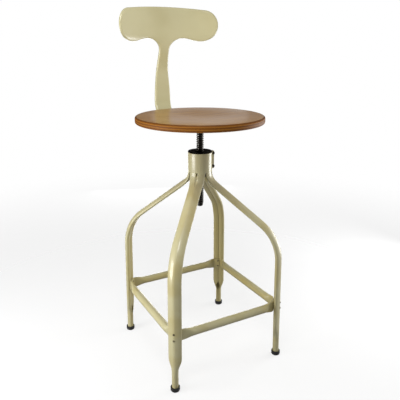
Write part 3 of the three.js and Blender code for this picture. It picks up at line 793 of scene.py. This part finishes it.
def cap():
    """A disc over the collar, with a skirt inside the collar and a shallow groove round its top."""
    low, high = extent("hub_cap")
    under, groove = COLLAR_HIGH.z + GAP, high.z - CAP["groove"]
    bore, radius, (skirt_inner, skirt_outer) = CAP["bore"], CAP["radius"], CAP["skirt"]
    (floor_inner, floor_outer), (brim_inner, brim_outer) = CAP["groove_floor"], CAP["groove_brim"]
    return lathe(rounded([
        (bore, under, 0.3), (skirt_inner, under, 0.2), (skirt_inner, low.z, 0.4),
        (skirt_outer, low.z, 0.4), (skirt_outer, under, 0.2), (radius, under, 0.5),
        (radius, high.z, 1.1), (brim_outer, high.z - CAP["outer_drop"], 1.0), (floor_outer, groove, 0.6),
        (floor_inner, groove, 0.6), (brim_inner, high.z, 0.6), (bore, high.z, 0.5),
    ], closed=True), segments=128, ring=True)


piece("hub_cap_disc", [cap()], BLACK, "base", ["hub_cap"])


def tube(node):
    low, high = extent(node)
    inner, outer, ease = TUBE_BORES[node], high.x, 0.5
    return lathe(rounded([
        (inner, low.z, ease), (outer, low.z, ease), (outer, high.z, ease), (inner, high.z, ease),
    ], closed=True, step=math.radians(31)), ring=True)


piece("hub_core_tube", [tube("hub_core")], BLACK, "base", ["hub_core"])
piece("threaded_bush_sleeve", [tube("threaded_bush")], STEEL, "base", ["threaded_bush"])
piece("hub_plate_washer", [tube("hub_plate")], ENAMEL, "base", ["hub_plate"])


def hexagon(radius, low, high, bore=0.0):
    """A six-sided head or nut along Z, with its corners eased by a round cone at both ends."""
    ease, end_radius, segments = 0.6, radius * 0.87, 48
    rings = []
    for z, limit in ((low, end_radius), (low + ease, radius), (high - ease, radius), (high, end_radius)):
        ring = []
        for k in range(segments):
            a = 2 * math.pi * k / segments
            side = radius * math.cos(math.pi / 6) / math.cos((a % (math.pi / 3)) - math.pi / 6)
            r = min(side, limit)
            ring.append((r * math.cos(a), r * math.sin(a), z))
        rings.append(ring)
    if not bore:
        return loft(rings)
    return loft([*rings, *(circle(bore, z, segments) for z in (high, low)), rings[0]], capped=False)


ALONG_Y = Matrix.Rotation(-math.pi / 2, 4, "X")
for i in (1, 2):
    low, high = extent(f"clamp_bolt_{i}")
    at = Matrix.Translation((LUG["bolt_x"], 0, (low.z + high.z) / 2)) @ ALONG_Y
    under_head = -(LUG["half"] + GAP)
    bolt = lathe(rounded([
        (0, under_head, 0), (CLAMP["bolt"], under_head, 0), (CLAMP["bolt"], high.y, 0.8), (0, high.y, 0),
    ]), segments=32)
    head = hexagon(CLAMP["head"], low.y, under_head)
    piece(f"clamp_bolt_hex_{i}", [moved(head, at), moved(bolt, at)], BLACK, "base",
          [f"clamp_bolt_{i}"], crease=30)
    low, high = extent(f"clamp_nut_{i}")
    nut = hexagon(CLAMP["nut"], low.y, high.y, CLAMP["nut_bore"])
    piece(f"clamp_nut_hex_{i}", [moved(nut, at)], BLACK, "base",
          [f"clamp_nut_{i}"], crease=30)

# ---- legs ----

# Half of the rolled section: a soft keel outside, round the side, and in to the seam. Each point is a
# share of half the width, and of the depth.
HALF_SECTION = [
    (0, 0), (0.22, 0.04), (0.6, 0.22), (0.92, 0.46), (1, 0.66), (0.86, 0.92), (0.5, 1), (0.03, 0.9),
]
WIDEST = 4 / 7  # the share at which the section is widest
HALF_SHARES = [(k / 36) ** 1.35 for k in range(37)]  # closest together at the keel
LEG_HALF = spline(HALF_SECTION, HALF_SHARES)
SEAM_TURN = 0.97 * math.pi  # the angle from the crown to the seam, round the tip's tube


def rounded_path(corners, radii, straight, arc):
    """(point, direction) pairs along a plane line with rounded corners, close enough to bend smoothly."""
    line = rounded([(x, y, radius) for (x, y), radius in zip(corners, [0, *radii, 0])], step=arc)
    path = []
    for a, b in zip(line, line[1:]):
        a, b = np.array(a), np.array(b)
        steps = max(1, math.ceil(np.linalg.norm(b - a) / straight))
        path += [a + (b - a) * k / steps for k in range(steps)]
    path.append(np.array(line[-1]))
    placed = []
    for i, point in enumerate(path):
        before, after = path[max(i - 1, 0)], path[min(i + 1, len(path) - 1)]
        direction = (after - before) / np.linalg.norm(after - before)
        placed.append((point, direction))
    return placed


def travelled(path):
    """How far along a path of (point, direction) pairs each of its points is."""
    gone = [0.0]
    for (a, _), (b, _) in zip(path, path[1:]):
        gone.append(gone[-1] + np.linalg.norm(b - a))
    return gone


def leg_path():
    """The leg's outer face from the side: up from the foot, over the shoulder and up to the collar."""
    slope = math.tan(LEG["incline"])
    hub = np.array((COLLAR_OUTER, LEG["hub_corner"]))
    risen = hub[1] + slope * hub[0]
    shoulder_x = (LEG["outer"] - LEG["lean"] * risen) / (1 - LEG["lean"] * slope)
    shoulder = np.array((shoulder_x, risen - slope * shoulder_x))
    foot = np.array((LEG["outer"] - LEG["lean"] * LEG["foot"], LEG["foot"]))
    top = np.array((COLLAR_OUTER, COLLAR_LOW.z - LEG["below_collar"]))
    return rounded_path([foot, shoulder, hub, top], [LEG["shoulder_radius"], LEG["hub_radius"]],
                        straight=7.0, arc=math.radians(4))


def leg_half(neck, thinner, spread):
    """Half the section in millimetres, from its crown to its seam: neck runs from the tip's tube at 0 to
    the full leg at 1, thinner from the upright's depth to the incline's, and spread from the full leg to
    the quarter of the collar that it meets at 1."""
    opening = (LEG["opening"] / LEG["width"]) * math.sin(math.pi * neck ** 0.5) ** 1.5
    depth = lerp(LEG["depth"], LEG["incline_depth"], thinner)
    width, deep = lerp(LEG["tip"], LEG["width"], neck) / 2, lerp(LEG["tip"], depth, neck)
    back = WIDEST + 0.06  # the share at which the quarter turns back, inside itself
    section = []
    for share, (u, v) in zip(HALF_SHARES, LEG_HALF):
        a = SEAM_TURN * share
        across = (lerp(math.sin(a), u, neck) + opening * share ** 4) * width
        inward = lerp((1 - math.cos(a)) / 2, v, neck) * deep
        round_share = min(share / WIDEST, 1.0) - max(share - back, 0.0) / (1 - back)
        inside = smoothstep(share, WIDEST - 0.01, WIDEST + 0.1)
        radius = lerp(COLLAR_OUTER, LEG["quarter_inner"], inside)
        angle = LEG["quarter"] * max(round_share, 0.02)  # the seam's two edges stay apart
        arc = (radius * math.sin(angle), COLLAR_OUTER - radius * math.cos(angle))
        section.append((lerp(across, arc[0], spread), lerp(inward, arc[1], spread)))
    return section


def leg():
    path = leg_path()
    from_top = travelled(path[::-1])[::-1]
    stations = []
    for (point, direction), distance in zip(path, from_top):
        neck = smoothstep(point[1], LEG["tip_top"], LEG["neck_top"])
        spread = 1 - smoothstep(distance, *LEG["spread"])
        half = leg_half(neck, smoothstep(point[1], *LEG["thinner"]), spread)
        pinch = sum(deep * (1 - smoothstep(distance, near, far)) for deep, near, far in LEG_PINCHES)
        pinch_width = PINCH_WIDTH + distance * PINCH_WIDENING
        whole = [(-u, v) for u, v in reversed(half[1:])] + half
        skin, lining = [], []
        for i, (u, v) in enumerate(whole):
            before, after = whole[max(i - 1, 0)], whole[min(i + 1, len(whole) - 1)]
            along = np.array((after[0] - before[0], after[1] - before[1]))
            along /= np.linalg.norm(along)
            outer_side = abs(i - len(half) + 1) < len(half) / 2  # the crown is in the middle
            sunk = v + (pinch * math.exp(-(u / pinch_width) ** 2) if outer_side else 0.0)
            skin.append((u, sunk))
            lining.append((u - along[1] * LEG["wall"], sunk + along[0] * LEG["wall"]))

        def place(pairs):
            return [(point[0] - v * direction[1], u, point[1] + v * direction[0]) for u, v in pairs]

        stations.append((place(skin), place(lining)))
    return sheet_loft(stations)


LEG_SOLID = leg()


def rivet_heads(z):
    """A dome on the leg's outer face, and one on the bar end inside it."""
    radius, crown, rim, shank, sunk = (RIVET[key] for key in ("radius", "crown", "rim", "shank", "sunk"))
    outside = LEG["outer"] - LEG["lean"] * z + rim
    inside = BAR_RADII[1] - BAR["end_thick"] / 2 - rim
    dome = [(radius * math.cos(a), crown * math.sin(a)) for a in np.linspace(0, math.pi / 2, 9)]
    dome[-1] = (0, crown)
    solids = []
    for x, turn in ((outside, math.pi / 2), (inside, -math.pi / 2)):
        solid = lathe([(0, -sunk), (shank, -sunk), (shank, -rim), (radius, -rim), *dome], segments=32)
        solids.append(moved(solid, Matrix.Translation((x, 0, z)) @ Matrix.Rotation(turn, 4, "Y")))
    return solids


def foot():
    """A cup round the leg's tip, with a rounded sole."""
    high = extent("foot_front_left")[1].z
    radius, bore, floor = FOOT["radius"], FOOT["bore"], FOOT["floor"]
    return lathe(rounded([
        (0, 0, 0), (FOOT["sole"], 0, 0.8), (FOOT["edge"], 1.0, 1.2), (radius, 4.2, 3), (radius, high, 1.2),
        (bore, high, 0.8), (bore, floor, 0.8), (0, floor, 0),
    ]), segments=64)


for place_name, azimuth in LEG_AZIMUTHS.items():
    piece(f"leg_tube_{place_name}", [LEG_SOLID], ENAMEL, "base", [f"leg_{place_name}"],
          turn=azimuth, crease=42)
    foot_at = Matrix.Translation((LEG["outer"] - LEG["tip"] / 2, 0, 0))
    piece(f"foot_cup_{place_name}", [moved(foot(), foot_at)], RUBBER, "base", [f"foot_{place_name}"],
          turn=azimuth)
    for i, z in enumerate(RIVET["heights"], 1):
        piece(f"rivet_domes_{place_name}_{i}", rivet_heads(z), TARNISHED, "base",
              [f"rivet_{place_name}_{i}"], turn=azimuth)

# ---- stretchers ----


def bar_path():
    """The bar's middle line from above: two flat ends, a bend at each, and a straight run."""
    diagonal = math.sqrt(0.5)

    def end(radius, along):
        return np.array((diagonal * (along - radius), diagonal * (radius + along)))

    tips = [end(radius, -past) for radius, past in zip(BAR_RADII, BAR["past_leg"])]
    corners = [end(radius, BAR["run"] / diagonal - radius) for radius in BAR_RADII]
    mirror = np.array((-1, 1))
    line = [tips[0], corners[0], corners[1] * mirror, tips[1] * mirror]
    return rounded_path(line, [BAR["bend"], BAR["bend"]], straight=3.0, arc=math.radians(7))


def bar_section(share, tall_share):
    """The tube's section, from its flattened end at a share of 0 to its round run at 1."""
    sides = 36
    power = lerp(0.22, 1.0, share)  # a low power squares the section off, and 1 leaves it round
    thick = lerp(BAR["end_thick"], BAR["diameter"], share) / 2
    tall = lerp(BAR["end_tall"], BAR["diameter"], share) / 2 * tall_share
    section = []
    for k in range(sides):
        a = 2 * math.pi * (k + 0.5) / sides
        across, up = math.sin(a), math.cos(a)
        section.append((math.copysign(abs(across) ** power, across) * thick, up * tall))
    return section


def stretcher():
    path = bar_path()
    distances = travelled(path)
    run = [point[0] for point, direction in path if abs(direction[1]) < 0.02]  # past the bends
    corner = BAR["corner"]
    rings = []
    for (point, direction), gone in zip(path, distances):
        inside = min(point[0] - run[0], run[-1] - point[0])
        share = smoothstep(inside, 0.0, BAR["swell"])
        near_tip = min(gone, distances[-1] - gone)
        cut = corner - math.sqrt(max(corner ** 2 - max(corner - near_tip, 0.0) ** 2, 0.0))
        tall_share = 1 - cut / (BAR["end_tall"] / 2)
        rings.append([(point[0] - u * direction[1], point[1] + u * direction[0], BAR["height"] + v)
                      for u, v in bar_section(share, tall_share)])
    return loft(rings)


STRETCHER = stretcher()
for side_name, azimuth in SIDE_AZIMUTHS.items():
    piece(f"stretcher_bar_{side_name}", [STRETCHER], ENAMEL, "base", [f"stretcher_{side_name}"],
          turn=azimuth + 180, crease=42)

# ---- floor, light and camera ----


def pale_floor(radius):
    """A plain pale disc that thins out into the white behind it."""
    n = Nodes("pale_floor")
    tone = n.mix(n.range(n.noise(3.0, 2.0), 0.3, 0.7), (0.93, 0.93, 0.93, 1), (0.95, 0.95, 0.95, 1))
    thin_out = n.range(n.radius(), 0.25 * radius, radius, 0.3, 0.0)
    mesh = bpy.data.meshes.new("floor")
    rim = circle(radius, 0, 96)
    mesh.from_pydata(rim, [], [range(len(rim))])
    mesh.materials.append(n.finish(Base_Color=tone, Roughness=0.95, Alpha=thin_out))
    disc = linked("floor", mesh)
    disc.visible_diffuse = False
    disc.visible_shadow = False


CAMERA_TURN = 28.7  # degrees from the sitter's front towards -X
CAMERA_DOWN = 18.08  # degrees below the level
CAMERA_LENS = 42.84
CAMERA_FROM_AXIS = (-0.6195, -1.1315, 0.887)


def area_light(name, azimuth, elevation, distance, size, power, aim_z):
    """A soft square light that faces the stool. Azimuths turn clockwise from -Y, seen from above."""
    data = bpy.data.lights.new(name, "AREA")
    data.shape = "SQUARE"
    data.size = size
    data.energy = power
    light = linked(name, data)
    a, e = math.radians(azimuth), math.radians(elevation)
    aim = Vector((0, AXIS.y, aim_z))
    back = Vector((-math.sin(a) * math.cos(e), -math.cos(a) * math.cos(e), math.sin(e)))
    light.location = aim + back * distance
    light.rotation_mode = "QUATERNION"
    light.rotation_quaternion = (-back).to_track_quat("-Z", "Y")


def studio(level, lobe, azimuth):
    """A soft surround, brighter towards one side, and plain white where it is seen."""
    world = bpy.data.worlds.new("studio")
    world.use_nodes = True
    tree = world.node_tree
    a = math.radians(azimuth)
    toward = tree.nodes.new("ShaderNodeVectorMath")
    toward.operation = "DOT_PRODUCT"
    toward.inputs[1].default_value = (-math.sin(a), -math.cos(a), 0)
    tree.links.new(tree.nodes.new("ShaderNodeTexCoord").outputs["Generated"], toward.inputs[0])
    glow = tree.nodes.new("ShaderNodeMapRange")
    glow.inputs["To Min"].default_value = level
    glow.inputs["To Max"].default_value = level + lobe
    tree.links.new(toward.outputs["Value"], glow.inputs["Value"])
    seen = tree.nodes.new("ShaderNodeLightPath")
    strength = tree.nodes.new("ShaderNodeMix")
    factor, _, unseen, white = strength.inputs[:4]
    white.default_value = 1.0
    tree.links.new(seen.outputs["Is Camera Ray"], factor)
    tree.links.new(glow.outputs["Result"], unseen)
    tree.links.new(strength.outputs[0], tree.nodes["Background"].inputs["Strength"])
    tree.nodes["Background"].inputs["Color"].default_value = (1, 1, 1, 1)
    bpy.context.scene.world = world


# Degrees round from the camera, degrees up, distance, size, power, and the height that it aims at.
LIGHTS = {
    "left_bank": (64, 0, 1.2, 0.6, 13, 0.39),
    "right_bank": (-112, 0, 1.2, 0.6, 11, 0.39),
    "top_front": (12, 42, 0.95, 0.6, 10, 0.94),
    "back_bank": (172, -22, 1.8, 0.9, 12, 0.6),
    "back_glow": (180, 1, 1.8, 0.6, 0.4, 0.75),
}

pale_floor(radius=2.2)
studio(level=0.18, lobe=0.36, azimuth=CAMERA_TURN - 104)
for light_name, (round_camera, *settings) in LIGHTS.items():
    area_light(light_name, CAMERA_TURN + round_camera, *settings)
bpy.context.scene.view_settings.view_transform = "Standard"

camera_data = bpy.data.cameras.new("camera")
camera_data.lens = CAMERA_LENS
camera_data.sensor_width = 36.0
camera = linked("camera", camera_data)
camera.location = AXIS + Vector(CAMERA_FROM_AXIS)
camera.rotation_euler = (math.radians(90 - CAMERA_DOWN), 0, math.radians(-CAMERA_TURN))
bpy.context.scene.camera = camera
